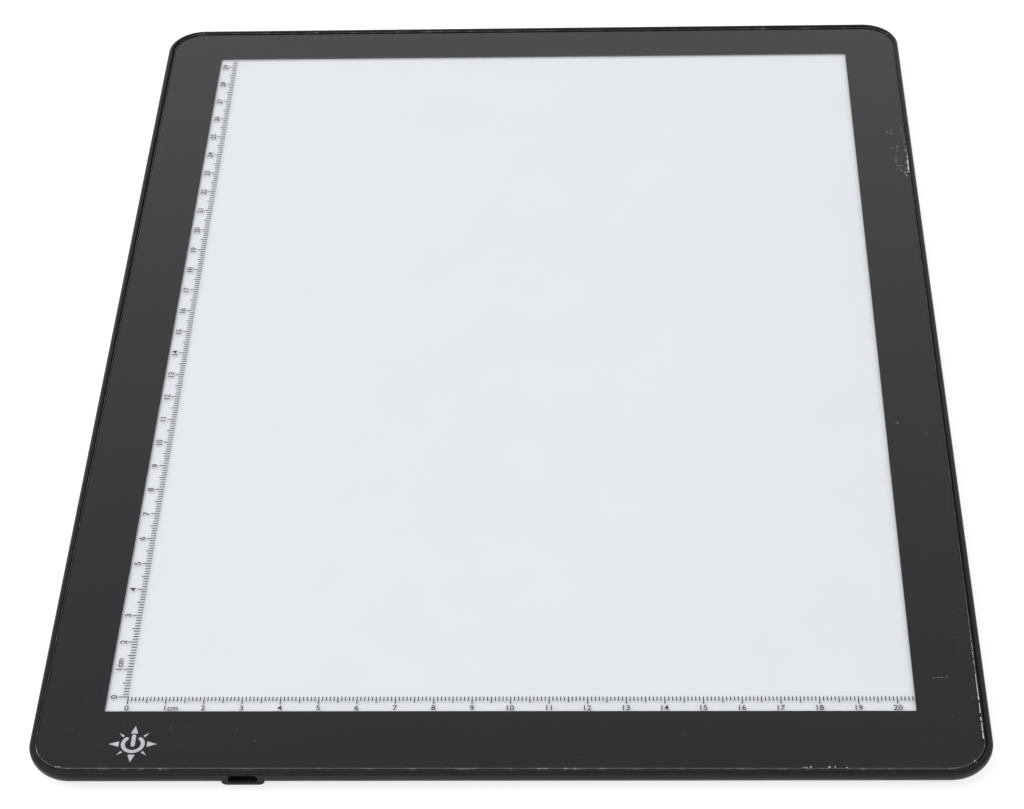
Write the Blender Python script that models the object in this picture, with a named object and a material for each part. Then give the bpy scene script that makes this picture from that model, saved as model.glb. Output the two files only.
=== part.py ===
"""LED tracing pad: an edge-lit light table with a touch switch and a USB socket.

Metres, +Z up. The pad lies on its four feet with its drawing side up. The
origin is under the middle of the case, and the edge with the socket and the
touch mark faces -Y.
"""

import math

import bmesh
import bpy
from mathutils import Vector

# Lit window, and the border printed round it
WINDOW_WIDTH = 0.2102
WINDOW_LENGTH = 0.3000
BORDER_SIDE = 0.01645
BORDER_NEAR = 0.02015
BORDER_FAR = 0.01505

# Clear front panel, and the rim of the case round it
PANEL_THICKNESS = 0.0008
PANEL_CHAMFER = 0.00015
PANEL_GAP = 0.0004
PANEL_LEAST_GAP = 0.0001
RIM_WIDTH = 0.00145
RIM_INNER_CHAMFER = 0.0002
CASE_CORNER_RADIUS = 0.0115
CASE_TOP_ROUND = 0.0009
CASE_BOTTOM_ROUND = 0.0038
CASE_FLOOR = 0.0010
LEDGE_WIDTH = 0.0025
SHARPEST_CORNER = 0.0005

# Layers between the floor and the panel, and the gap left at each face
LAYER_GAP = 0.0001
REFLECTOR_THICKNESS = 0.0002
GUIDE_THICKNESS = 0.0022
DIFFUSER_THICKNESS = 0.0002
TAPE_THICKNESS = 0.0001
TAPE_EDGE_SETBACK = 0.0005
TAPE_WINDOW_SETBACK = 0.0010
GUIDE_MARGIN_SIDE = 0.0050
GUIDE_MARGIN_END = 0.0040
SHEET_SETBACK = 0.0005

# Light strips that stand along the two long sides of the guide
LED_LENGTH = 0.0030
LED_HEIGHT = 0.0014
LED_DEPTH = 0.0009
LED_LENS_BORDER = 0.0002
LED_LENS_DEPTH = 0.0001
LED_PITCH = 0.0083
LED_FROM_STRIP_END = 0.0030
LED_GUIDE_GAP = 0.0002
STRIP_THICKNESS = 0.0003
STRIP_HEIGHT = 0.0023
STRIP_FROM_GUIDE_END = 0.00305
STRIP_TAPE_HEIGHT = 0.0018

# Ribs moulded on the floor of the case
FENCE_WIDTH = 0.0010
FENCE_HEIGHT = 0.0022
FENCE_GUIDE_GAP = 0.0003
FENCE_CORNER_OPENING = 0.0120
RIB_WIDTH = 0.0012
RIB_GAP = 0.0005
RIB_ROOT = 0.0003
SIDE_RIB_COUNT = 6
FAR_RIB_COUNT = 4

# Control board under the near left part of the border, between the ledge and the fence
BOARD_THICKNESS = 0.0008
BOARD_EDGE_GAP = 0.0003
BOARD_TAPE_THICKNESS = 0.0003
BOARD_TAPE_BORDER = 0.0020
BOARD_PAST_MARK = 0.0075
BOARD_PAST_SOCKET = 0.0050

# Touch mark, and the block of foam that carries its signal to the board
MARK_FROM_LEFT = 0.0271
MARK_BORDER_SHARE = 0.4293
ELECTRODE_SIZE = 0.0080

# USB socket
SOCKET_FROM_LEFT = 0.0560
SHELL_WIDTH = 0.0073
SHELL_HEIGHT = 0.0024
SHELL_DEPTH = 0.0052
SHELL_WALL = 0.0003
SHELL_BACK = 0.0006
SHELL_CORNER = 0.0006
SHELL_RECESS = 0.0016
SHELL_EAR_LENGTH = 0.0014
SHELL_EAR_REACH = 0.0012
SHELL_EAR_THICKNESS = 0.0003
SHELL_BOARD_GAP = 0.0002
TONGUE_WIDTH = 0.0038
TONGUE_HEIGHT = 0.0006
TONGUE_LENGTH = 0.0034
CONTACT_COUNT = 5
CONTACT_WIDTH = 0.0003
CONTACT_HEIGHT = 0.0001
CONTACT_LENGTH = 0.0026
CONTACT_PITCH = 0.00065
PORT_CLEARANCE = 0.00015
PORT_CORNER = 0.0007
PORT_MOUTH_STEP = 0.00005
PORT_MOUTH_DEPTH = 0.0012
PORT_OVERRUN = 0.0010

# Block that fills the rounded lower edge round the socket, with sloping lower corners
BLOCK_WALL = 0.0015
BLOCK_SLOPE_WIDTH = 0.0020
BLOCK_SLOPE_HEIGHT = 0.0009
BLOCK_SETBACK = 0.0001
BLOCK_LIFT = 0.0001
BLOCK_TOP_DROP = 0.0013
BLOCK_EDGE_ROUND = 0.0012

# Small parts on the board, in columns from the electrode towards the socket
PART_SPACING = 0.0010
CHIP_LENGTH = 0.0049
CHIP_WIDTH = 0.0039
CHIP_HEIGHT = 0.0012
CHIP_PINS_PER_SIDE = 4
CHIP_PIN_PITCH = 0.00127
CHIP_PIN_WIDTH = 0.0004
CHIP_PIN_REACH = 0.0010
CHIP_PIN_THICKNESS = 0.0002
TRANSISTOR_LENGTH = 0.0029
TRANSISTOR_WIDTH = 0.0015
TRANSISTOR_HEIGHT = 0.0010
CAPACITOR_LENGTH = 0.0020
CAPACITOR_WIDTH = 0.00125
CAPACITOR_HEIGHT = 0.0008
RESISTOR_LENGTH = 0.0016
RESISTOR_WIDTH = 0.0008
RESISTOR_HEIGHT = 0.00045
# Where each stands across the board, as shares of its width from the near edge
CHIP_SHARE = 0.52
TRANSISTOR_SHARE = 0.72
CAPACITOR_SHARES = (0.28, 0.76)
RESISTOR_SHARES = (0.16, 0.36)
LONE_RESISTOR_SHARE = 0.48
BEHIND_SOCKET_SHARES = (0.78, 0.50)

# Leads from the board to the light strips
LEAD_RADIUS = 0.00035
LEAD_SPREAD = 0.0014
LEAD_ON_BOARD = 0.0016
LEAD_BEND = 0.0030
LEAD_STEPS = 5

# Feet
FOOT_RADIUS = 0.0045
FOOT_HEIGHT = 0.0015
FOOT_ROUND = 0.0004
FOOT_RECESS = 0.0003
FOOT_CLEARANCE = 0.0002
FOOT_FROM_EDGE = 0.0180
FOOT_STEPS = 8

# Number of facets in a quarter turn
CORNER_STEPS = 14
EDGE_STEPS = 7
SMALL_STEPS = 4

# Plan sizes that follow
PANEL_HALF_X = (WINDOW_WIDTH + BORDER_SIDE * 2) / 2
PANEL_HALF_Y = (WINDOW_LENGTH + BORDER_NEAR + BORDER_FAR) / 2
CASE_HALF_X = PANEL_HALF_X + PANEL_GAP + RIM_WIDTH
CASE_HALF_Y = PANEL_HALF_Y + PANEL_GAP + RIM_WIDTH
PANEL_RADIUS = CASE_CORNER_RADIUS - RIM_WIDTH - PANEL_GAP
# The panel lies askew, turned clockwise until its long sides nearly meet the rim
PANEL_TURN = -math.asin((PANEL_GAP - PANEL_LEAST_GAP) / (PANEL_HALF_Y - PANEL_RADIUS))
WINDOW_Y = (BORDER_NEAR - BORDER_FAR) / 2
GUIDE_HALF_X = WINDOW_WIDTH / 2 + GUIDE_MARGIN_SIDE
GUIDE_HALF_Y = WINDOW_LENGTH / 2 + GUIDE_MARGIN_END
CAVITY_INSET = RIM_WIDTH + LEDGE_WIDTH
CAVITY_HALF_X = CASE_HALF_X - CAVITY_INSET
CAVITY_HALF_Y = CASE_HALF_Y - CAVITY_INSET

# Levels that follow, from the surface that the pad stands on upwards. The taller of the
# stack of sheets and the socket on its board sets how deep the case is.
CASE_LOW = FOOT_HEIGHT
FLOOR_TOP = CASE_LOW + CASE_FLOOR
REFLECTOR_LOW = FLOOR_TOP + LAYER_GAP
GUIDE_LOW = REFLECTOR_LOW + REFLECTOR_THICKNESS + LAYER_GAP
GUIDE_TOP = GUIDE_LOW + GUIDE_THICKNESS
DIFFUSER_LOW = GUIDE_TOP + LAYER_GAP
BOARD_LOW = FLOOR_TOP + BOARD_TAPE_THICKNESS + LAYER_GAP * 2
BOARD_TOP = BOARD_LOW + BOARD_THICKNESS
PARTS_LOW = BOARD_TOP + LAYER_GAP
SHELL_LOW = BOARD_LOW
INNER_TOP = max(DIFFUSER_LOW + DIFFUSER_THICKNESS, SHELL_LOW + SHELL_HEIGHT)
TAPE_LOW = INNER_TOP + LAYER_GAP
PANEL_LOW = TAPE_LOW + TAPE_THICKNESS + LAYER_GAP
PANEL_TOP = PANEL_LOW + PANEL_THICKNESS

# Rows across the long side of the guide that follow, from the middle outwards
LED_X = GUIDE_HALF_X + LED_GUIDE_GAP
STRIP_X = LED_X + LED_DEPTH
STRIP_TAPE_X = STRIP_X + STRIP_THICKNESS + LAYER_GAP
FENCE_X = STRIP_TAPE_X + TAPE_THICKNESS + LAYER_GAP
FENCE_OUT_X = FENCE_X + FENCE_WIDTH
FENCE_Y = GUIDE_HALF_Y + FENCE_GUIDE_GAP
FENCE_OUT_Y = FENCE_Y + FENCE_WIDTH
STRIP_HALF_Y = GUIDE_HALF_Y - STRIP_FROM_GUIDE_END
STRIP_LOW = FLOOR_TOP + LAYER_GAP
LED_SPAN = (STRIP_HALF_Y - LED_FROM_STRIP_END) * 2 - LED_LENGTH
LED_COUNT = int(LED_SPAN / LED_PITCH) + 1

# Places that follow on the near left part of the border
MARK_X = -CASE_HALF_X + MARK_FROM_LEFT
MARK_Y = -PANEL_HALF_Y + BORDER_NEAR * MARK_BORDER_SHARE
SOCKET_X = -CASE_HALF_X + SOCKET_FROM_LEFT
SHELL_FRONT = -CASE_HALF_Y + SHELL_RECESS
BOARD_LEFT = MARK_X - BOARD_PAST_MARK
BOARD_RIGHT = SOCKET_X + SHELL_WIDTH / 2 + BOARD_PAST_SOCKET
BOARD_NEAR = -CAVITY_HALF_Y + BOARD_EDGE_GAP
BOARD_FAR = WINDOW_Y - FENCE_OUT_Y - BOARD_EDGE_GAP
BOARD_WIDTH = BOARD_FAR - BOARD_NEAR


def clear_scene():
    """Remove every object, so that the script can be run again in the same file."""
    for item in list(bpy.data.objects):
        bpy.data.objects.remove(item, do_unlink=True)


def linear(channel):
    """The linear value of an sRGB channel given from 0 to 255."""
    share = channel / 255
    return share / 12.92 if share <= 0.04045 else ((share + 0.055) / 1.055) ** 2.4


def material(name, colour, roughness, metallic=0.0, alpha=1.0):
    """A Principled material in an sRGB colour."""
    made = bpy.data.materials.new(name)
    made.use_nodes = True
    shader = made.node_tree.nodes["Principled BSDF"]
    red, green, blue = (linear(channel) for channel in colour)
    shader.inputs["Base Color"].default_value = (red, green, blue, 1)
    shader.inputs["Roughness"].default_value = roughness
    shader.inputs["Metallic"].default_value = metallic
    shader.inputs["Alpha"].default_value = alpha
    made.diffuse_color = (red, green, blue, alpha)
    return made


def place(name, mesh_data, finish, smooth=True):
    """Turn a bmesh into a named object with its faces pointing out."""
    bmesh.ops.recalc_face_normals(mesh_data, faces=mesh_data.faces)
    mesh = bpy.data.meshes.new(name)
    mesh_data.to_mesh(mesh)
    mesh_data.free()
    if smooth:
        mesh.shade_smooth()
        mesh.set_sharp_from_angle(angle=math.radians(30))
    item = bpy.data.objects.new(name, mesh)
    if finish is not None:
        mesh.materials.append(finish)
    bpy.context.scene.collection.objects.link(item)
    return item


def rounded(half_x, half_y, radius, steps=CORNER_STEPS):
    """Points round a rectangle with round corners, anticlockwise."""
    points = []
    for turn, (side_x, side_y) in enumerate(((1, 1), (-1, 1), (-1, -1), (1, -1))):
        for step in range(steps + 1):
            angle = math.pi / 2 * (turn + step / steps)
            x = side_x * (half_x - radius) + radius * math.cos(angle)
            y = side_y * (half_y - radius) + radius * math.sin(angle)
            points.append((x, y))
    return points


def circle(radius, steps=FOOT_STEPS):
    """Points round a circle, anticlockwise."""
    count = steps * 4
    return [(radius * math.cos(math.tau * i / count), radius * math.sin(math.tau * i / count))
            for i in range(count)]


def add_loft(mesh_data, rings):
    """Join rings of equally many points, one to the next, and cap both ends."""
    rows = [[mesh_data.verts.new(point) for point in ring] for ring in rings]
    for low, high in zip(rows, rows[1:]):
        for index in range(len(low)):
            after = (index + 1) % len(low)
            mesh_data.faces.new((low[index], low[after], high[after], high[index]))
    mesh_data.faces.new(list(reversed(rows[0])))
    mesh_data.faces.new(rows[-1])


def level(points, z, centre=(0, 0)):
    """Lay an outline flat at a height."""
    return [(centre[0] + x, centre[1] + y, z) for x, y in points]


def turned(points):
    """Turn an outline with the panel."""
    cosine, sine = math.cos(PANEL_TURN), math.sin(PANEL_TURN)
    return [(x * cosine - y * sine, x * sine + y * cosine) for x, y in points]


def upright(points, y, centre):
    """Stand an outline up, facing -Y, round a centre given as x and z."""
    return [(centre[0] + x, y, centre[1] + z) for x, z in points]


def add_box(mesh_data, low, high):
    """Add a box between two corners."""
    middle = [(a + b) / 2 for a, b in zip(low, high)]
    size = [b - a for a, b in zip(low, high)]
    made = bmesh.ops.create_cube(mesh_data, size=1)
    bmesh.ops.scale(mesh_data, vec=size, verts=made["verts"])
    bmesh.ops.translate(mesh_data, vec=middle, verts=made["verts"])
    return made["verts"]


def boxes(name, corners, finish):
    """One object made of separate boxes."""
    mesh_data = bmesh.new()
    for low, high in corners:
        add_box(mesh_data, low, high)
    return place(name, mesh_data, finish, smooth=False)


def plate(name, half_x, half_y, radius, low, high, centre, finish):
    """A flat sheet with round corners."""
    mesh_data = bmesh.new()
    points = rounded(half_x, half_y, radius, SMALL_STEPS)
    add_loft(mesh_data, [level(points, low, centre), level(points, high, centre)])
    return place(name, mesh_data, finish)


def as_helper(item):
    """Mark a cutter or a piece to be joined, which isn't a part of the pad."""
    item.hide_render = True
    item.display_type = "WIRE"
    return item


def combine(item, helper, operation):
    """Add a Boolean to an object, which takes over the helper's materials."""
    boolean = item.modifiers.new(helper.name, "BOOLEAN")
    boolean.operation = operation
    boolean.solver = "EXACT"
    boolean.material_mode = "TRANSFER" if helper.data.materials else "INDEX"
    boolean.object = helper


def case_ring(inset, z):
    """The case's outline drawn in by an inset, at a height."""
    radius = max(CASE_CORNER_RADIUS - inset, SHARPEST_CORNER)
    return level(rounded(CASE_HALF_X - inset, CASE_HALF_Y - inset, radius), z)


def case_shell():
    """The tray: round lower edge, thin rim, ledge for the panel, flat floor."""
    bottom_round = min(CASE_BOTTOM_ROUND, PANEL_TOP - CASE_LOW - CASE_TOP_ROUND)
    rings = []
    for step in range(EDGE_STEPS + 1):
        angle = math.pi / 2 * step / EDGE_STEPS
        inset = bottom_round * (1 - math.sin(angle))
        rings.append(case_ring(inset, CASE_LOW + bottom_round * (1 - math.cos(angle))))
    for step in range(SMALL_STEPS + 1):
        angle = math.pi / 2 * step / SMALL_STEPS
        inset = CASE_TOP_ROUND * (1 - math.cos(angle))
        rings.append(case_ring(inset, PANEL_TOP - CASE_TOP_ROUND * (1 - math.sin(angle))))
    rings.append(case_ring(RIM_WIDTH - RIM_INNER_CHAMFER, PANEL_TOP))
    rings.append(case_ring(RIM_WIDTH, PANEL_TOP - RIM_INNER_CHAMFER))
    rings.append(case_ring(RIM_WIDTH, INNER_TOP))
    rings.append(case_ring(CAVITY_INSET, INNER_TOP))
    rings.append(case_ring(CAVITY_INSET, FLOOR_TOP))
    mesh_data = bmesh.new()
    add_loft(mesh_data, rings)
    return mesh_data


def fence_and_ribs():
    """Low fence behind the light strips and the guide's ends, and ribs that bear the border."""
    low = FLOOR_TOP - RIB_ROOT
    fence_top = FLOOR_TOP + FENCE_HEIGHT
    side_reach = GUIDE_HALF_Y - FENCE_CORNER_OPENING
    end_reach = GUIDE_HALF_X - FENCE_CORNER_OPENING
    corners = []
    for side in (-1, 1):
        near_x, far_x = sorted((side * FENCE_X, side * FENCE_OUT_X))
        corners.append(((near_x, WINDOW_Y - side_reach, low), (far_x, WINDOW_Y + side_reach, fence_top)))
        near_y, far_y = sorted((WINDOW_Y + side * FENCE_Y, WINDOW_Y + side * FENCE_OUT_Y))
        corners.append(((-end_reach, near_y, low), (end_reach, far_y, fence_top)))
        rib_low, rib_high = sorted((side * (FENCE_OUT_X + RIB_GAP), side * (CAVITY_HALF_X - RIB_GAP)))
        for index in range(SIDE_RIB_COUNT):
            middle = WINDOW_Y + side_reach * (2 * (index + 0.5) / SIDE_RIB_COUNT - 1)
            corners.append(((rib_low, middle - RIB_WIDTH / 2, low),
                            (rib_high, middle + RIB_WIDTH / 2, INNER_TOP)))
    for index in range(FAR_RIB_COUNT):
        middle = end_reach * (2 * (index + 0.5) / FAR_RIB_COUNT - 1)
        corners.append(((middle - RIB_WIDTH / 2, WINDOW_Y + FENCE_OUT_Y + RIB_GAP, low),
                        (middle + RIB_WIDTH / 2, CAVITY_HALF_Y - RIB_GAP, INNER_TOP)))
    return as_helper(boxes("fence_and_ribs", corners, None))


def port_block():
    """Block with sloping lower corners that carries the socket's opening past the round edge."""
    front = -CASE_HALF_Y + BLOCK_SETBACK
    back = -CASE_HALF_Y + CASE_BOTTOM_ROUND
    low = CASE_LOW + BLOCK_LIFT
    high = PANEL_TOP - BLOCK_TOP_DROP
    section = []
    for step in range(SMALL_STEPS + 1):
        angle = math.pi / 2 * step / SMALL_STEPS
        section.append((front + BLOCK_EDGE_ROUND * (1 - math.sin(angle)),
                        low + BLOCK_EDGE_ROUND * (1 - math.cos(angle))))
    section.append((front, high))
    rings = []
    for y, z in section:
        slope_left = max(0, 1 - (z - low) / BLOCK_SLOPE_HEIGHT)
        reach = SHELL_WIDTH / 2 + PORT_CLEARANCE + BLOCK_WALL - BLOCK_SLOPE_WIDTH * slope_left
        rings.append([(SOCKET_X - reach, y, z), (SOCKET_X + reach, y, z),
                      (SOCKET_X + reach, back, z), (SOCKET_X - reach, back, z)])
    mesh_data = bmesh.new()
    add_loft(mesh_data, rings)
    return as_helper(place("port_block", mesh_data, None))


def foot_places():
    """Names and centres of the four feet."""
    x = CASE_HALF_X - FOOT_FROM_EDGE
    y = CASE_HALF_Y - FOOT_FROM_EDGE
    return {"near_left": (-x, -y), "near_right": (x, -y), "far_left": (-x, y), "far_right": (x, y)}


def case_cuts():
    """Opening for the socket, with a lip below its mouth, and a shallow seat for each foot."""
    mesh_data = bmesh.new()
    opening = rounded(SHELL_WIDTH / 2 + PORT_CLEARANCE, SHELL_HEIGHT / 2 + PORT_CLEARANCE,
                      PORT_CORNER, SMALL_STEPS)
    middle = (SOCKET_X, SHELL_LOW + SHELL_HEIGHT / 2)
    mouth_low = SHELL_LOW + SHELL_WALL
    mouth_high = SHELL_LOW + SHELL_HEIGHT + PORT_CLEARANCE - PORT_MOUTH_STEP
    mouth = rounded(SHELL_WIDTH / 2 + PORT_CLEARANCE - PORT_MOUTH_STEP, (mouth_high - mouth_low) / 2,
                    PORT_CORNER, SMALL_STEPS)
    mouth_middle = (SOCKET_X, (mouth_low + mouth_high) / 2)
    mouth_back = -CASE_HALF_Y + PORT_MOUTH_DEPTH
    add_loft(mesh_data, [upright(mouth, -CASE_HALF_Y - PORT_OVERRUN, mouth_middle),
                         upright(mouth, mouth_back, mouth_middle), upright(opening, mouth_back, middle),
                         upright(opening, -CAVITY_HALF_Y + PORT_OVERRUN, middle)])
    seat = circle(FOOT_RADIUS + FOOT_CLEARANCE)
    for centre in foot_places().values():
        add_loft(mesh_data, [level(seat, CASE_LOW - PORT_OVERRUN, centre),
                             level(seat, CASE_LOW + FOOT_RECESS, centre)])
    return as_helper(place("case_cuts", mesh_data, None))


def build_case(finish):
    """Rear case in one moulding."""
    case = place("rear_case", case_shell(), finish)
    combine(case, fence_and_ribs(), "UNION")
    combine(case, port_block(), "UNION")
    combine(case, case_cuts(), "DIFFERENCE")


def build_panel(finish):
    """Clear front panel with a fine chamfer round its upper edge."""
    outline = turned(rounded(PANEL_HALF_X, PANEL_HALF_Y, PANEL_RADIUS))
    face = turned(rounded(PANEL_HALF_X - PANEL_CHAMFER, PANEL_HALF_Y - PANEL_CHAMFER,
                          PANEL_RADIUS - PANEL_CHAMFER))
    rings = [level(outline, PANEL_LOW), level(outline, PANEL_TOP - PANEL_CHAMFER), level(face, PANEL_TOP)]
    mesh_data = bmesh.new()
    add_loft(mesh_data, rings)
    place("front_panel", mesh_data, finish)


def build_tape_frame(finish):
    """Black tape that bonds the panel down and blocks light outside the window."""
    outline = turned(rounded(PANEL_HALF_X - TAPE_EDGE_SETBACK, PANEL_HALF_Y - TAPE_EDGE_SETBACK,
                             PANEL_RADIUS - TAPE_EDGE_SETBACK))
    mesh_data = bmesh.new()
    add_loft(mesh_data, [level(outline, TAPE_LOW), level(outline, TAPE_LOW + TAPE_THICKNESS)])
    frame = place("light_blocking_tape", mesh_data, finish)
    half_x = WINDOW_WIDTH / 2 + TAPE_WINDOW_SETBACK
    half_y = WINDOW_LENGTH / 2 + TAPE_WINDOW_SETBACK
    window = turned([(half_x, WINDOW_Y + half_y), (-half_x, WINDOW_Y + half_y),
                     (-half_x, WINDOW_Y - half_y), (half_x, WINDOW_Y - half_y)])
    hole = bmesh.new()
    add_loft(hole, [level(window, FLOOR_TOP), level(window, PANEL_TOP)])
    combine(frame, as_helper(place("tape_window", hole, None)), "DIFFERENCE")


def build_sheets(reflector, acrylic, diffuser):
    """Reflector, light guide and diffuser, one on the other."""
    middle = (0, WINDOW_Y)
    sheet = (GUIDE_HALF_X - SHEET_SETBACK, GUIDE_HALF_Y - SHEET_SETBACK, SHARPEST_CORNER)
    plate("reflector_sheet", *sheet, REFLECTOR_LOW, REFLECTOR_LOW + REFLECTOR_THICKNESS, middle, reflector)
    plate("light_guide_plate", GUIDE_HALF_X, GUIDE_HALF_Y, SHARPEST_CORNER, GUIDE_LOW, GUIDE_TOP,
          middle, acrylic)
    plate("diffuser_sheet", *sheet, DIFFUSER_LOW, DIFFUSER_LOW + DIFFUSER_THICKNESS, middle, diffuser)


def add_led(mesh_data, side, y):
    """One light-emitting diode, with a shallow window that faces the guide."""
    middle = (GUIDE_LOW + GUIDE_TOP) / 2
    near_x, far_x = sorted((side * LED_X, side * (STRIP_X + STRIP_THICKNESS / 2)))
    verts = add_box(mesh_data, (near_x, y - LED_LENGTH / 2, middle - LED_HEIGHT / 2),
                    (far_x, y + LED_LENGTH / 2, middle + LED_HEIGHT / 2))
    faces = {face for vert in verts for face in vert.link_faces}
    front = min(faces, key=lambda face: abs(face.calc_center_median().x))
    bmesh.ops.inset_region(mesh_data, faces=[front], thickness=LED_LENS_BORDER)
    bmesh.ops.translate(mesh_data, vec=(side * LED_LENS_DEPTH, 0, 0), verts=front.verts)


def build_strip(name, side, board_finish, led_finish, tape_finish):
    """One light strip with the diodes soldered to it, and the tape that holds it to the fence."""
    low, high = sorted((side * STRIP_X, side * (STRIP_X + STRIP_THICKNESS)))
    strip = boxes("led_strip_" + name,
                  [((low, WINDOW_Y - STRIP_HALF_Y, STRIP_LOW),
                    (high, WINDOW_Y + STRIP_HALF_Y, STRIP_LOW + STRIP_HEIGHT))], board_finish)
    mesh_data = bmesh.new()
    for index in range(LED_COUNT):
        add_led(mesh_data, side, WINDOW_Y + LED_PITCH * (index - (LED_COUNT - 1) / 2))
    combine(strip, as_helper(place("leds_" + name, mesh_data, led_finish, smooth=False)), "UNION")
    low, high = sorted((side * STRIP_TAPE_X, side * (STRIP_TAPE_X + TAPE_THICKNESS)))
    reach = GUIDE_HALF_Y - FENCE_CORNER_OPENING
    boxes("strip_tape_" + name,
          [((low, WINDOW_Y - reach, STRIP_LOW), (high, WINDOW_Y + reach, STRIP_LOW + STRIP_TAPE_HEIGHT))],
          tape_finish)


def build_board(board_finish, tape_finish):
    """Control board with a notch that the socket is sunk into, on its tape."""
    board = boxes("control_board",
                  [((BOARD_LEFT, BOARD_NEAR, BOARD_LOW), (BOARD_RIGHT, BOARD_FAR, BOARD_TOP))], board_finish)
    reach = SHELL_WIDTH / 2 + SHELL_BOARD_GAP
    back = SHELL_FRONT + SHELL_DEPTH + SHELL_BOARD_GAP
    notch = ((SOCKET_X - reach, BOARD_NEAR - PORT_OVERRUN, BOARD_LOW - PORT_OVERRUN),
             (SOCKET_X + reach, back, BOARD_TOP + PORT_OVERRUN))
    combine(board, as_helper(boxes("board_notch", [notch], None)), "DIFFERENCE")
    low = BOARD_LOW - LAYER_GAP - BOARD_TAPE_THICKNESS
    boxes("board_tape",
          [((BOARD_LEFT + BOARD_TAPE_BORDER, back + BOARD_TAPE_BORDER, low),
            (BOARD_RIGHT - BOARD_TAPE_BORDER, BOARD_FAR - BOARD_TAPE_BORDER, low + BOARD_TAPE_THICKNESS))],
          tape_finish)


def build_socket(steel, plastic, gold):
    """USB socket: folded shell with two ears, tongue, and contacts under the tongue."""
    middle = (SOCKET_X, SHELL_LOW + SHELL_HEIGHT / 2)
    back = SHELL_FRONT + SHELL_DEPTH
    outer = rounded(SHELL_WIDTH / 2, SHELL_HEIGHT / 2, SHELL_CORNER, SMALL_STEPS)
    inner = rounded(SHELL_WIDTH / 2 - SHELL_WALL, SHELL_HEIGHT / 2 - SHELL_WALL,
                    SHELL_CORNER - SHELL_WALL, SMALL_STEPS)
    mesh_data = bmesh.new()
    add_loft(mesh_data, [upright(inner, back - SHELL_BACK, middle), upright(inner, SHELL_FRONT, middle),
                         upright(outer, SHELL_FRONT, middle), upright(outer, back, middle)])
    shell = place("usb_shell", mesh_data, steel)
    ears = []
    for side in (-1, 1):
        root = SHELL_WIDTH / 2 - SHELL_WALL / 2
        low, high = sorted((SOCKET_X + side * root, SOCKET_X + side * (root + SHELL_EAR_REACH)))
        ears.append(((low, back - SHELL_EAR_LENGTH, PARTS_LOW),
                     (high, back - SHELL_BACK / 2, PARTS_LOW + SHELL_EAR_THICKNESS)))
    combine(shell, as_helper(boxes("shell_ears", ears, None)), "UNION")
    tongue_back = back - SHELL_BACK - LAYER_GAP
    tongue_low = SHELL_LOW + SHELL_HEIGHT / 2
    boxes("usb_tongue",
          [((SOCKET_X - TONGUE_WIDTH / 2, tongue_back - TONGUE_LENGTH, tongue_low),
            (SOCKET_X + TONGUE_WIDTH / 2, tongue_back, tongue_low + TONGUE_HEIGHT))], plastic)
    top = tongue_low - LAYER_GAP
    for index in range(CONTACT_COUNT):
        x = SOCKET_X + CONTACT_PITCH * (index - (CONTACT_COUNT - 1) / 2)
        boxes(f"usb_contact_{index + 1}",
              [((x - CONTACT_WIDTH / 2, tongue_back - CONTACT_LENGTH, top - CONTACT_HEIGHT),
                (x + CONTACT_WIDTH / 2, tongue_back, top))], gold)


def across(share):
    """A place across the board from its share of the board's width."""
    return BOARD_NEAR + BOARD_WIDTH * share


def columns(start, widths):
    """The middle of each column of parts, side by side from a start with even spaces between."""
    middles = []
    for width in widths:
        start += PART_SPACING + width
        middles.append(start - width / 2)
    return middles


def standing(x, y, length, width, height):
    """Corners of a box that stands on the board."""
    return ((x - length / 2, y - width / 2, PARTS_LOW), (x + length / 2, y + width / 2, PARTS_LOW + height))


def build_chip(x, y, resin, steel):
    """Touch chip with a row of pins on each long side."""
    body = boxes("touch_chip", [standing(x, y, CHIP_LENGTH, CHIP_WIDTH, CHIP_HEIGHT)], resin)
    pins = []
    for side in (-1, 1):
        low, high = sorted((y + side * CHIP_WIDTH / 4, y + side * (CHIP_WIDTH / 2 + CHIP_PIN_REACH)))
        for index in range(CHIP_PINS_PER_SIDE):
            pin_x = x + CHIP_PIN_PITCH * (index - (CHIP_PINS_PER_SIDE - 1) / 2)
            pins.append(((pin_x - CHIP_PIN_WIDTH / 2, low, PARTS_LOW),
                         (pin_x + CHIP_PIN_WIDTH / 2, high, PARTS_LOW + CHIP_PIN_THICKNESS)))
    combine(body, as_helper(boxes("chip_pins", pins, steel)), "UNION")


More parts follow.
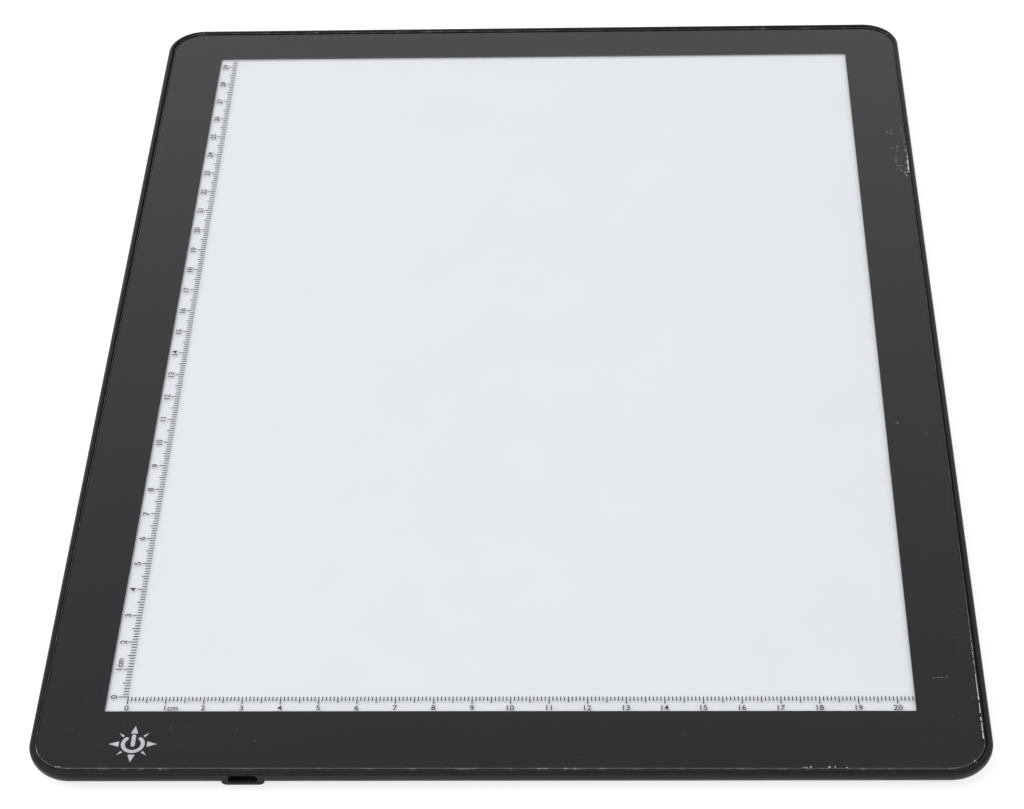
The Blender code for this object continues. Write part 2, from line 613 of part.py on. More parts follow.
def build_board_parts(foam, resin, steel, ceramic):
    """What stands on the board: electrode, chip, transistor, capacitors and resistors."""
    boxes("touch_electrode",
          [standing(MARK_X, MARK_Y, ELECTRODE_SIZE, ELECTRODE_SIZE, INNER_TOP - PARTS_LOW)], foam)
    capacitor_x, chip_x, pair_x, transistor_x, lone_x = columns(
        MARK_X + ELECTRODE_SIZE / 2,
        (CAPACITOR_LENGTH, CHIP_LENGTH, RESISTOR_WIDTH, TRANSISTOR_LENGTH, RESISTOR_WIDTH))
    behind_x = SOCKET_X + SHELL_WIDTH / 2
    build_chip(chip_x, across(CHIP_SHARE), resin, steel)
    boxes("power_transistor",
          [standing(transistor_x, across(TRANSISTOR_SHARE), TRANSISTOR_LENGTH, TRANSISTOR_WIDTH,
                    TRANSISTOR_HEIGHT)], resin)
    places = [(capacitor_x, share) for share in CAPACITOR_SHARES] + [(behind_x, BEHIND_SOCKET_SHARES[0])]
    for index, (x, share) in enumerate(places):
        corners = standing(x, across(share), CAPACITOR_LENGTH, CAPACITOR_WIDTH, CAPACITOR_HEIGHT)
        boxes(f"capacitor_{index + 1}", [corners], ceramic)
    places = [(pair_x, share) for share in RESISTOR_SHARES]
    places += [(lone_x, LONE_RESISTOR_SHARE), (transistor_x, LONE_RESISTOR_SHARE),
               (behind_x, BEHIND_SOCKET_SHARES[1])]
    for index, (x, share) in enumerate(places):
        corners = standing(x, across(share), RESISTOR_WIDTH, RESISTOR_LENGTH, RESISTOR_HEIGHT)
        boxes(f"resistor_{index + 1}", [corners], resin)


def smooth_route(points, steps):
    """Points on a smooth curve through the given points, tight where they are close together."""
    ends = [points[0] * 2 - points[1]] + points + [points[-1] * 2 - points[-2]]
    route = []
    for before, start, end, after in zip(ends, ends[1:], ends[2:], ends[3:]):
        reach = (end - start).length
        leaving = (end - before).normalized() * min(reach, (start - before).length)
        arriving = (after - start).normalized() * min(reach, (after - end).length)
        for step in range(steps):
            t = step / steps
            route.append(start * (2 * t ** 3 - 3 * t ** 2 + 1) + leaving * (t ** 3 - 2 * t ** 2 + t)
                         + end * (3 * t ** 2 - 2 * t ** 3) + arriving * (t ** 3 - t ** 2))
    route.append(points[-1])
    return route


def build_lead(name, points, finish):
    """A thin lead along a smooth route, with closed ends."""
    curve = bpy.data.curves.new(name, "CURVE")
    curve.dimensions = "3D"
    curve.bevel_depth = LEAD_RADIUS
    curve.bevel_resolution = 2
    curve.use_fill_caps = True
    route = smooth_route([Vector(point) for point in points], LEAD_STEPS)
    spline = curve.splines.new("POLY")
    spline.points.add(len(route) - 1)
    for target, point in zip(spline.points, route):
        target.co = (*point, 1)
    curve.materials.append(finish)
    bpy.context.scene.collection.objects.link(bpy.data.objects.new(name, curve))


def build_leads(red, black):
    """Two leads from each end of the board to the near end of each light strip."""
    strip_end = WINDOW_Y - STRIP_HALF_Y
    on_top = PARTS_LOW + LEAD_RADIUS
    on_floor = FLOOR_TOP + LAYER_GAP + LEAD_RADIUS
    clear = LEAD_RADIUS + LAYER_GAP
    for name, side, edge in (("left", -1, BOARD_LEFT), ("right", 1, BOARD_RIGHT)):
        strip_x = side * (STRIP_X + STRIP_THICKNESS / 2)
        bend = side * min(LEAD_BEND, abs(strip_x - edge) / 3)
        for colour, order, finish in (("red", 1, red), ("black", -1, black)):
            y = BOARD_FAR - BOARD_WIDTH / 4 + order * LEAD_SPREAD / 2
            end_z = STRIP_LOW + STRIP_HEIGHT / 2 + order * (LEAD_RADIUS + clear)
            points = [(edge - side * LEAD_ON_BOARD, y, on_top),
                      (edge, y, on_top),
                      (edge + bend / 3, y, on_top),
                      (edge + bend, y, on_floor)]
            if abs(strip_x - edge) > LEAD_BEND * 4:
                points.append(((edge + strip_x) / 2, y, on_floor))
            points += [(strip_x - bend, y, (on_floor + end_z) / 2),
                       (strip_x, y + LEAD_BEND, end_z),
                       (strip_x, strip_end - clear, end_z)]
            build_lead(f"lead_{name}_{colour}", points, finish)


def build_feet(finish):
    """Four round feet, each seated in the floor of the case."""
    for name, centre in foot_places().items():
        rings = []
        for step in range(SMALL_STEPS + 1):
            angle = math.pi / 2 * step / SMALL_STEPS
            radius = FOOT_RADIUS - FOOT_ROUND * (1 - math.sin(angle))
            rings.append(level(circle(radius), FOOT_ROUND * (1 - math.cos(angle)), centre))
        rings.append(level(circle(FOOT_RADIUS), CASE_LOW + FOOT_RECESS - LAYER_GAP, centre))
        mesh_data = bmesh.new()
        add_loft(mesh_data, rings)
        place("rubber_foot_" + name, mesh_data, finish)


def main():
    """Build every sub-part of the pad."""
    clear_scene()
    black_plastic = material("black_plastic", (49, 48, 51), 0.42)
    clear_acrylic = material("clear_acrylic", (240, 243, 245), 0.08, alpha=0.3)
    guide_acrylic = material("guide_acrylic", (225, 235, 238), 0.10, alpha=0.5)
    black_tape = material("black_tape", (38, 38, 41), 0.45)
    white_film = material("white_film", (232, 234, 237), 0.55)
    silver_film = material("silver_film", (240, 240, 240), 0.30)
    white_board = material("white_board", (228, 230, 226), 0.50)
    green_board = material("green_board", (28, 84, 52), 0.40)
    led_resin = material("led_resin", (236, 214, 120), 0.35)
    foil_tape = material("foil_tape", (205, 200, 188), 0.60)
    steel = material("steel", (176, 178, 182), 0.30, metallic=1.0)
    gold = material("gold", (214, 172, 92), 0.25, metallic=1.0)
    black_resin = material("black_resin", (32, 32, 34), 0.45)
    brown_ceramic = material("brown_ceramic", (150, 116, 84), 0.40)
    grey_foam = material("grey_foam", (88, 88, 92), 0.85)
    red_cover = material("red_cover", (170, 30, 28), 0.45)
    black_cover = material("black_cover", (26, 26, 28), 0.45)
    rubber = material("rubber", (36, 36, 38), 0.80)
    build_case(black_plastic)
    build_panel(clear_acrylic)
    build_tape_frame(black_tape)
    build_sheets(silver_film, guide_acrylic, white_film)
    build_strip("left", -1, white_board, led_resin, foil_tape)
    build_strip("right", 1, white_board, led_resin, foil_tape)
    build_board(green_board, foil_tape)
    build_socket(steel, black_resin, gold)
    build_board_parts(grey_foam, black_resin, steel, brown_ceramic)
    build_leads(red_cover, black_cover)
    build_feet(rubber)


main()
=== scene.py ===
import math
import random

import bmesh
import bpy
from mathutils import Matrix, Vector, noise


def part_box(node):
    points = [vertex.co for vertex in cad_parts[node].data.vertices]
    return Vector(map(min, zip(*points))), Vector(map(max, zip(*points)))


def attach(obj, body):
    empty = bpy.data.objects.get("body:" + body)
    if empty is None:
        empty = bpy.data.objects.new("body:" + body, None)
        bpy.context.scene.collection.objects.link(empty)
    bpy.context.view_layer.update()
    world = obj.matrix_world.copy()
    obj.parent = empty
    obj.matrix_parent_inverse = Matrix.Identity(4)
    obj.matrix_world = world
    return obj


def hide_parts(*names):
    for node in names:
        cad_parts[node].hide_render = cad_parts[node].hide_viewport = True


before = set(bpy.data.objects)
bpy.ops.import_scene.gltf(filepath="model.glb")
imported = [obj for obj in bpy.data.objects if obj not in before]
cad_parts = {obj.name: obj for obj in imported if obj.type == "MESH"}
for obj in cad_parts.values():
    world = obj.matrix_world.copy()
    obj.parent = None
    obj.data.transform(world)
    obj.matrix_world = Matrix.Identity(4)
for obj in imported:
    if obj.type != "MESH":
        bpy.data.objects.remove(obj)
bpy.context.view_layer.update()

# All lengths are in metres. The case stands on its feet at z = 0, and its near edge faces -Y.
MM = 0.001
FILM_GAP = 0.1 * MM

# Case and panel, from the parts in model.glb
CASE_LOW_CORNER, CASE_HIGH_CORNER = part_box("rear_case")
PANEL_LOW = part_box("front_panel")[0].z
PANEL_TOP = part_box("front_panel")[1].z
TAPE_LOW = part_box("light_blocking_tape")[0].z
SHELL_LOW_CORNER, SHELL_HIGH_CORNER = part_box("usb_shell")
CONTACT_BOXES = [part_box(f"usb_contact_{index}") for index in (1, 5)]
CASE_HALF_X = CASE_HIGH_CORNER.x
CASE_HALF_Y = CASE_HIGH_CORNER.y
CASE_LOW = CASE_LOW_CORNER.z
CASE_TOP = CASE_HIGH_CORNER.z
INNER_TOP = TAPE_LOW - FILM_GAP
SOCKET_X = (CONTACT_BOXES[0][0].x + CONTACT_BOXES[1][1].x) / 2

# Shape of the case
CORNER_RADIUS = 11.5 * MM
RIM_WIDTH = 1.45 * MM
BOTTOM_ROUND = 3.8 * MM
TOP_ROUND = 0.9 * MM
RIM_INNER_ROUND = 0.25 * MM
LEDGE_WIDTH = 2.5 * MM
FLOOR_THICKNESS = 1.0 * MM
FOOT_RADIUS = 4.5 * MM
FOOT_ROUND = 0.5 * MM
FOOT_STEPS = 72
FOOT_SEAT_RADIUS = 4.7 * MM
FOOT_SEAT_DEPTH = 0.3 * MM
FOOT_SEAT_STEPS = 64
CUTTER_REACH = 1 * MM

# Panel, which lies a little askew in the rim
PANEL_HALF_X = 121.55 * MM
PANEL_HALF_Y = 167.6 * MM
PANEL_RADIUS = 9.65 * MM
PANEL_TURN = math.radians(-0.1088)
PANEL_CHAMFER = 0.16 * MM
PANEL_LOW_CHAMFER = 0.08 * MM
PANEL_CORNER_STEPS = 40
EDGE_SPACING = 0.8 * MM
EDGE_WAVES_PER_M = 700
SIDE_FACE_NORMAL_Z = 0.95
PANEL_GLOSS = 0.06
FLAKE_PROUD = 0.012 * MM
FLAKE_THICKNESS = 0.02 * MM
SCUFF_STEP = 0.45 * MM
SCUFF_BREAKS_SHARE = 0.2

# Socket opening and the block round it
OPENING_WIDTH = 7.5 * MM
OPENING_HEIGHT = 2.45 * MM
OPENING_LIFT = 0.33 * MM
OPENING_CORNER = 0.85 * MM
OPENING_FLARE = 0.12 * MM
MOUTH_DEPTH = 1.2 * MM
POCKET_WIDTH = 7.6 * MM
POCKET_HEIGHT = 2.7 * MM
POCKET_DEPTH = 5 * MM
OPENING_STEPS = 6
BLOCK_WIDTH = 11.0 * MM
BLOCK_SLOPE_WIDTH = 1.85 * MM
BLOCK_SLOPE_HEIGHT = 1.5 * MM
BLOCK_SETBACK = 0.1 * MM
BLOCK_LIFT = 0.1 * MM
BLOCK_TOP_DROP = 1.3 * MM
BLOCK_EDGE_ROUND = 1.2 * MM

# Window and print
WINDOW_HALF_X = 105.1 * MM
WINDOW_NEAR = -147.45 * MM
WINDOW_FAR = 152.55 * MM
INK_THICKNESS = 0.02 * MM
PRINT_DEPTH = 0.45 * MM
INK_EDGE_SETBACK = 0.04 * MM
RULER_X = -WINDOW_HALF_X + 5.6 * MM
RULER_Y = WINDOW_NEAR + 5.1 * MM
RULER_LINE = 0.28 * MM
RULER_TICKS = (1.5 * MM, 2.1 * MM, 2.55 * MM)
LEFT_RULER_MM = 293
NEAR_RULER_MM = 204
DIGIT_HEIGHT = 1.8 * MM
NEAR_DIGIT_WIDTH_SHARE = 0.98
LEFT_DIGIT_WIDTH_SHARE = 1.12
DIGIT_BOLDNESS = 0.02 * MM
DIGIT_GAP = 0.42 * MM
DIGIT_SHARE_OF_SIZE = 0.729
UNIT_OFFSET = 0.72 * MM
WINDOW_CORNER = 0.12 * MM

# Touch mark: its middle, its ring, its bar, and its large and small rays from root to tip
MARK_X = -96.25 * MM
MARK_Y = -158.9 * MM
MARK_LIFT = 0.01 * MM
RING_IN = 2.05 * MM
RING_OUT = 3.08 * MM
RING_GAP = math.radians(44)
RING_STEPS = 48
BAR_HALF = 0.54 * MM
BAR_LOW = -0.34 * MM
BAR_HIGH = 2.79 * MM
CAP_STEPS = 8
LARGE_RAY = (3.65 * MM, 6.25 * MM, 0.94 * MM)
SMALL_RAY = (3.72 * MM, 5.45 * MM, 0.36 * MM)
RAYS = 8

# Worn places on the panel: how many flakes, where their middle lies, how far they
# spread both ways, and the size of the largest, all in millimetres
WEAR_CLUSTERS = ((7, 117.4, 107.0, 0.9, 1.2, 0.42), (5, 120.3, 106.0, 0.3, 2.0, 0.35),
                 (12, 118.6, 97.0, 0.8, 2.2, 0.36), (5, 117.4, 90.8, 0.3, 0.6, 0.62),
                 (14, 119.0, 86.5, 0.8, 1.4, 0.38), (12, 120.3, 84.0, 0.6, 0.9, 0.55),
                 (10, 120.9, 99.5, 0.14, 3.0, 0.4), (7, 111.2, -136.1, 1.1, 0.10, 0.32),
                 (3, 113.7, -135.9, 0.3, 0.05, 0.34), (2, 108.5, -35.8, 0.3, 0.3, 0.4),
                 (1, 119.7, -143.2, 0.1, 0.1, 0.45), (5, 76.1, -167.1, 0.6, 0.10, 0.6),
                 (5, 82.0, -167.1, 0.6, 0.10, 0.6), (2, 86.0, -167.2, 0.2, 0.05, 0.4),
                 (4, -114.6, -167.0, 0.4, 0.08, 0.5), (5, 118.2, -164.9, 0.35, 0.25, 0.4),
                 (3, 45.0, -156.1, 0.6, 0.2, 0.26), (2, -71.2, 163.8, 0.2, 0.2, 0.42),
                 (3, -105.4, 47.0, 0.3, 2.6, 0.28))
# Scuffs along the panel's right edge: where they begin and end, and their greatest width
EDGE_SCUFFS = ((84.5, 97.5, 0.75), (-158.0, -106.0, 0.34))
STRAY_SPECKS = 46

CORNER_STEPS = 28

# Floor: its own colour, and the glow that brings it up to white where it is seen
FLOOR_ALBEDO = 0.42
FLOOR_GLOW = 0.74
FLOOR_HALF = 6

# Surround: its strength below and above two heights of the view's direction, and its colour
SURROUND_HEIGHTS = (0.54, 0.76)
SURROUND_STRENGTHS = (1.10, 0.62)
SURROUND_COLOUR = (0.985, 0.995, 1.025, 1)

# Lamp and camera
KEY_PLACE = (-0.9, -0.5, 1.5)
KEY_AIM = (0, 0, 0)
KEY_SIZE = 1.2
KEY_POWER = 9
CAMERA_PLACE = Vector((28.78, -657.74, 554.36)) * MM
CAMERA_AIM = Vector((-2.25, -26.15, 5.7)) * MM
CAMERA_ROLL = math.radians(-2.19)
CAMERA_LENS = 101.31
CAMERA_SENSOR = 36
CAMERA_CLIP = 0.01


def srgb(red, green, blue):
    """A linear colour from sRGB values of 0 to 255."""
    channels = []
    for value in (red, green, blue):
        share = value / 255
        channels.append(share / 12.92 if share <= 0.04045 else ((share + 0.055) / 1.055) ** 2.4)
    return (*channels, 1)


# Geometry helpers

def rounded(half_x, half_y, radius, steps=CORNER_STEPS, spacing=None):
    """Points round a rectangle with round corners, anticlockwise, with the sides divided by a spacing."""
    corners = []
    for turn, (side_x, side_y) in enumerate(((1, 1), (-1, 1), (-1, -1), (1, -1))):
        arc = []
        for step in range(steps + 1):
            angle = math.pi / 2 * (turn + step / steps)
            arc.append(Vector((side_x * (half_x - radius) + radius * math.cos(angle),
                               side_y * (half_y - radius) + radius * math.sin(angle))))
        corners.append(arc)
    points = []
    for arc, following in zip(corners, corners[1:] + corners[:1]):
        points += arc
        run = following[0] - arc[-1]
        count = max(1, round(run.length / spacing)) if spacing else 1
        points += [arc[-1] + run * (step / count) for step in range(1, count)]
    return [tuple(point) for point in points]


def loft(rings, caps=True):
    """A bmesh whose rings of equally many points are joined one to the next, capped at both ends."""
    made = bmesh.new()
    rows = [[made.verts.new(point) for point in ring] for ring in rings]
    for low, high in zip(rows, rows[1:]):
        for index in range(len(low)):
            after = (index + 1) % len(low)
            made.faces.new((low[index], low[after], high[after], high[index]))
    if caps:
        made.faces.new(list(reversed(rows[0])))
        made.faces.new(rows[-1])
    return made


def level(points, z):
    """An outline laid flat at a height."""
    return [(x, y, z) for x, y in points]


def circle(x, y, radius, count):
    """Points round a circle."""
    return [(x + radius * math.cos(math.tau * step / count), y + radius * math.sin(math.tau * step / count))
            for step in range(count)]


def add_slab(made, outline, low, high):
    """Add a flat shape of a given outline between two heights."""
    bottom = [made.verts.new((x, y, low)) for x, y in outline]
    top = [made.verts.new((x, y, high)) for x, y in outline]
    for index in range(len(outline)):
        after = (index + 1) % len(outline)
        made.faces.new((bottom[index], bottom[after], top[after], top[index]))
    made.faces.new(list(reversed(bottom)))
    made.faces.new(top)


def turn_with_panel(made):
    """Turn a bmesh from the panel's own frame to its place in the rim."""
    made.transform(Matrix.Rotation(PANEL_TURN, 4, "Z"))
    return made


def finish_mesh(name, made, smooth_angle=35):
    """A mesh object from a bmesh, with its faces out and smooth up to an angle."""
    bmesh.ops.recalc_face_normals(made, faces=made.faces)
    mesh = bpy.data.meshes.new(name)
    made.to_mesh(mesh)
    made.free()
    mesh.shade_smooth()
    mesh.set_sharp_from_angle(angle=math.radians(smooth_angle))
    item = bpy.data.objects.new(name, mesh)
    bpy.context.scene.collection.objects.link(item)
    return item


def piece(item, material, replaced=()):
    """Dress an object and fix it to the part's body."""
    item.data.materials.clear()
    item.data.materials.append(material)
    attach(item, "root")
    if replaced:
        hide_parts(*replaced)
    return item


def combined(item, helper, operation):
    """Apply a Boolean with a helper object, which is then removed."""
    modifier = item.modifiers.new("combine", "BOOLEAN")
    modifier.operation = operation
    modifier.solver = "EXACT"
    modifier.object = helper
    graph = bpy.context.evaluated_depsgraph_get()
    mesh = bpy.data.meshes.new_from_object(item.evaluated_get(graph))
    item.modifiers.clear()
    item.data = mesh
    bpy.data.objects.remove(helper, do_unlink=True)
    mesh.shade_smooth()
    mesh.set_sharp_from_angle(angle=math.radians(35))


def arc_steps(count):
    """Angles of a quarter turn in even steps."""
    return [math.pi / 2 * step / count for step in range(count + 1)]


# Materials

def node_material(name, colour, roughness, metallic=0.0):
    """A Principled material, with its nodes, links and shader at hand."""
    material = bpy.data.materials.new(name)
    material.use_nodes = True
    nodes = material.node_tree.nodes
    links = material.node_tree.links
    shader = nodes["Principled BSDF"]
    shader.inputs["Base Color"].default_value = colour
    shader.inputs["Roughness"].default_value = roughness
    shader.inputs["Metallic"].default_value = metallic
    return material, nodes, links, shader


def noise_of(nodes, links, scale, detail=3.0, roughness=0.5):
    """A noise texture in the object's own coordinates, in features per metre."""
    place = nodes.new("ShaderNodeTexCoord")
    texture = nodes.new("ShaderNodeTexNoise")
    texture.inputs["Scale"].default_value = scale
    texture.inputs["Detail"].default_value = detail
    texture.inputs["Roughness"].default_value = roughness
    links.new(place.outputs["Object"], texture.inputs["Vector"])
    return texture.outputs["Fac"]


def ramp_of(nodes, links, source, stops):
    """A colour ramp over a value, from (position, colour) stops."""
    ramp = nodes.new("ShaderNodeValToRGB")
    while len(ramp.color_ramp.elements) < len(stops):
        ramp.color_ramp.elements.new(1)
    for element, (position, colour) in zip(ramp.color_ramp.elements, stops):
        element.position = position
        element.color = colour
    links.new(source, ramp.inputs["Fac"])
    return ramp.outputs["Color"]


def range_of(nodes, links, source, low, high, from_low=0.3, from_high=0.7):
    """A value spread between two limits."""
    spread = nodes.new("ShaderNodeMapRange")
    spread.inputs["From Min"].default_value = from_low
    spread.inputs["From Max"].default_value = from_high
    spread.inputs["To Min"].default_value = low
    spread.inputs["To Max"].default_value = high
    links.new(source, spread.inputs["Value"])
    return spread.outputs["Result"]


def bump_of(nodes, links, source, shader, depth, strength=1.0):
    """A bump on a shader, with its depth in metres."""
    bump = nodes.new("ShaderNodeBump")
    bump.inputs["Strength"].default_value = strength
    bump.inputs["Distance"].default_value = depth
    links.new(source, bump.inputs["Height"])
    links.new(bump.outputs["Normal"], shader.inputs["Normal"])


def smears_of(nodes, links):
    """Roughness of the polished panel, with faint smears a few centimetres long."""
    return range_of(nodes, links, noise_of(nodes, links, 22, 5.0, 0.6), PANEL_GLOSS * 0.6, PANEL_GLOSS * 1.4)


def mixed_colours(colour, spread):
    """A darker and a lighter neighbour of a colour."""
    low = tuple(channel * (1 - spread) for channel in colour[:3]) + (1,)
    high = tuple(min(1, channel * (1 + spread)) for channel in colour[:3]) + (1,)
    return low, high


def grained(name, colour, roughness, grain_per_m, grain_depth, spread=0.12, roughness_spread=0.06,
            metallic=0.0):
    """A moulded or coated surface with fine grain, uneven gloss and slight colour variation."""
    material, nodes, links, shader = node_material(name, colour, roughness, metallic)
    low, high = mixed_colours(colour, spread)
    patches = noise_of(nodes, links, grain_per_m / 40, 4.0)
    links.new(ramp_of(nodes, links, patches, ((0.3, low), (0.7, high))), shader.inputs["Base Color"])
    links.new(range_of(nodes, links, patches, roughness - roughness_spread, roughness + roughness_spread),
              shader.inputs["Roughness"])
    bump_of(nodes, links, noise_of(nodes, links, grain_per_m, 2.0), shader, grain_depth)
    return material


def clear_acrylic():
    """Clear acrylic body, all but invisible: the print and the film under it carry its polish."""
    material, nodes, links, shader = node_material("clear_acrylic", (0.03, 0.035, 0.04, 1), PANEL_GLOSS)
    shader.inputs["IOR"].default_value = 1.49
    shader.inputs["Alpha"].default_value = 0.02
    links.new(smears_of(nodes, links), shader.inputs["Roughness"])
    return material


def cut_edge():
    """Sawn and buffed edge of the panel: frosted and dull, with brighter chips; its pale tone and bright
    flecks are partly a painted glint along the edge.
    """
    # Pale base: partly the frosted cut acrylic, partly a painted glint along the panel's edge.
    base = srgb(80, 80, 84)
    material, nodes, links, shader = node_material("cut_edge", base, 0.4)
    # This noise places the bright flecks: partly chips in the edge, partly painted glints.
    nicks_and_painted_glints = noise_of(nodes, links, 320, 6.0, 0.75)
    stops = ((0.50, base), (0.58, srgb(118, 118, 122)), (0.72, srgb(200, 201, 204)))
    links.new(ramp_of(nodes, links, nicks_and_painted_glints, stops), shader.inputs["Base Color"])
    links.new(range_of(nodes, links, nicks_and_painted_glints, 0.3, 0.7), shader.inputs["Roughness"])
    bump_of(nodes, links, nicks_and_painted_glints, shader, 0.05 * MM)
    return material


def printed_ink(name, colour, spread=0.06):
    """Screen-printed ink with the polish of the panel over it, slightly uneven and smeared."""
    material, nodes, links, shader = node_material(name, colour, PANEL_GLOSS)
    links.new(smears_of(nodes, links), shader.inputs["Roughness"])
    low, high = mixed_colours(colour, spread)
    cloud = noise_of(nodes, links, 45, 6.0, 0.65)
    links.new(ramp_of(nodes, links, cloud, ((0.35, low), (0.65, high))), shader.inputs["Base Color"])
    return material


# Pieces

def case_ring(inset, z):
    """The case's outline drawn in by an inset, at a height."""
    return level(rounded(CASE_HALF_X - inset, CASE_HALF_Y - inset, CORNER_RADIUS - inset), z)


def case_profile():
    """Rings of the case from under its floor, round the outside, over the rim and down to the floor."""
    rings = [case_ring(BOTTOM_ROUND * (1 - math.sin(angle)), CASE_LOW + BOTTOM_ROUND * (1 - math.cos(angle)))
             for angle in arc_steps(12)]
    rings += [case_ring(TOP_ROUND * (1 - math.cos(angle)), CASE_TOP - TOP_ROUND * (1 - math.sin(angle)))
              for angle in arc_steps(6)]
    inner = RIM_WIDTH - RIM_INNER_ROUND
    rings += [case_ring(inner + RIM_INNER_ROUND * math.sin(angle),
                        CASE_TOP - RIM_INNER_ROUND * (1 - math.cos(angle))) for angle in arc_steps(4)]
    rings.append(case_ring(RIM_WIDTH, INNER_TOP))
    rings.append(case_ring(RIM_WIDTH + LEDGE_WIDTH, INNER_TOP))
    rings.append(case_ring(RIM_WIDTH + LEDGE_WIDTH, CASE_LOW + FLOOR_THICKNESS))
    return rings


def block_helper():
    """Block with sloping lower corners round the socket's opening."""
    front = -CASE_HALF_Y + BLOCK_SETBACK
    back = -CASE_HALF_Y + BOTTOM_ROUND
    low = CASE_LOW + BLOCK_LIFT
    high = CASE_TOP - BLOCK_TOP_DROP
    section = [(front + BLOCK_EDGE_ROUND * (1 - math.sin(angle)),
                low + BLOCK_EDGE_ROUND * (1 - math.cos(angle))) for angle in arc_steps(8)]
    section += [(front, low + BLOCK_SLOPE_HEIGHT), (front, high)]
    rings = []
    for y, z in section:
        reach = BLOCK_WIDTH / 2 - BLOCK_SLOPE_WIDTH * max(0, 1 - (z - low) / BLOCK_SLOPE_HEIGHT)
        rings.append([(SOCKET_X - reach, y, z), (SOCKET_X + reach, y, z),
                      (SOCKET_X + reach, back, z), (SOCKET_X - reach, back, z)])
    return finish_mesh("block_helper", loft(rings))


def opening_helper():
    """Cutter of the socket's opening: a mouth flared to the outside, then a roomier pocket for the shell."""
    shell_middle = (SHELL_LOW_CORNER.z + SHELL_HIGH_CORNER.z) / 2
    front = -CASE_HALF_Y
    rings = []
    for y, flare in ((front - CUTTER_REACH, OPENING_FLARE + CUTTER_REACH), (front, OPENING_FLARE),
                     (front + OPENING_FLARE * 0.3, OPENING_FLARE * 0.3), (front + OPENING_FLARE, 0),
                     (front + MOUTH_DEPTH, 0)):
        outline = rounded(OPENING_WIDTH / 2 + flare, OPENING_HEIGHT / 2 + flare, OPENING_CORNER + flare,
                          OPENING_STEPS)
        rings.append([(SOCKET_X + x, y, shell_middle + OPENING_LIFT + z) for x, z in outline])
    pocket = rounded(POCKET_WIDTH / 2, POCKET_HEIGHT / 2, OPENING_CORNER, OPENING_STEPS)
    for y in (front + MOUTH_DEPTH, front + POCKET_DEPTH):
        rings.append([(SOCKET_X + x, y, shell_middle + z) for x, z in pocket])
    return finish_mesh("opening_helper", loft(rings))


def foot_centres():
    """Centres of the four feet by their nodes' names."""
    centres = {}
    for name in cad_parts:
        if name.startswith("rubber_foot"):
            low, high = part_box(name)
            centres[name] = ((low.x + high.x) / 2, (low.y + high.y) / 2)
    return centres


def foot_seat_helper():
    """Cutter of the four shallow seats for the feet."""
    made = bmesh.new()
    for x, y in foot_centres().values():
        add_slab(made, circle(x, y, FOOT_SEAT_RADIUS, FOOT_SEAT_STEPS), CASE_LOW - CUTTER_REACH,
                 CASE_LOW + FOOT_SEAT_DEPTH)
    return finish_mesh("foot_seat_helper", made)


def build_case(material):
    """Rear case with its rim, ledge, socket opening and foot seats."""
    case = finish_mesh("rear_shell", loft(case_profile()))
    combined(case, block_helper(), "UNION")
    combined(case, opening_helper(), "DIFFERENCE")
    combined(case, foot_seat_helper(), "DIFFERENCE")
    piece(case, material, ["rear_case"])


def build_panel(acrylic, edge):
    """Clear panel whose buffed upper edge varies in width like a hand-finished one."""
    def ring(inset, z, wander=0.0):
        outline = rounded(PANEL_HALF_X - inset, PANEL_HALF_Y - inset, PANEL_RADIUS - inset,
                          PANEL_CORNER_STEPS, EDGE_SPACING)
        points = []
        for x, y in outline:
            shift = wander * noise.noise(Vector((x * EDGE_WAVES_PER_M, y * EDGE_WAVES_PER_M, 3.1)))
            reach = Vector((x, y)).length
            points.append((x * (1 - shift / reach), y * (1 - shift / reach), z))
        return points

    top = PANEL_TOP - FLAKE_PROUD
    rings = [ring(PANEL_LOW_CHAMFER, PANEL_LOW), ring(0, PANEL_LOW + PANEL_LOW_CHAMFER),
             ring(0, top - PANEL_CHAMFER, 0.02 * MM),
             ring(PANEL_CHAMFER * 0.4, top - PANEL_CHAMFER * 0.35, 0.06 * MM),
             ring(PANEL_CHAMFER, top, 0.10 * MM)]
    panel = finish_mesh("clear_panel", turn_with_panel(loft(rings)), 20)
    piece(panel, acrylic, ["front_panel"])
    panel.data.materials.append(edge)
    # Side and chamfer faces take the cut-edge finish, whose paleness is partly a painted glint.
    for face in panel.data.polygons:
        if abs(face.normal.z) < SIDE_FACE_NORMAL_Z:
            face.material_index = 1


def build_border(ink):
    """Black ink just under the panel's face, from near its edge to the window."""
    top = PANEL_TOP - PRINT_DEPTH
    half_x = PANEL_HALF_X - INK_EDGE_SETBACK
    half_y = PANEL_HALF_Y - INK_EDGE_SETBACK
    outline = rounded(half_x, half_y, PANEL_RADIUS - INK_EDGE_SETBACK)
    middle_y = (WINDOW_NEAR + WINDOW_FAR) / 2
    window_half_y = (WINDOW_FAR - WINDOW_NEAR) / 2
    window = [(x, middle_y + y) for x, y in rounded(WINDOW_HALF_X, window_half_y, WINDOW_CORNER)]
    low = top - INK_THICKNESS
    made = loft([level(outline, low), level(outline, top), level(window, top), level(window, low),
                 level(outline, low)], caps=False)
    bmesh.ops.remove_doubles(made, verts=made.verts, dist=1e-7)
    border = finish_mesh("border_ink", turn_with_panel(made))
    piece(border, ink)


def arc(radius, start, end, steps, centre=(0, 0)):
    """Points along an arc between two angles."""
    angles = [start + (end - start) * step / steps for step in range(steps + 1)]
    return [(centre[0] + radius * math.cos(angle), centre[1] + radius * math.sin(angle)) for angle in angles]


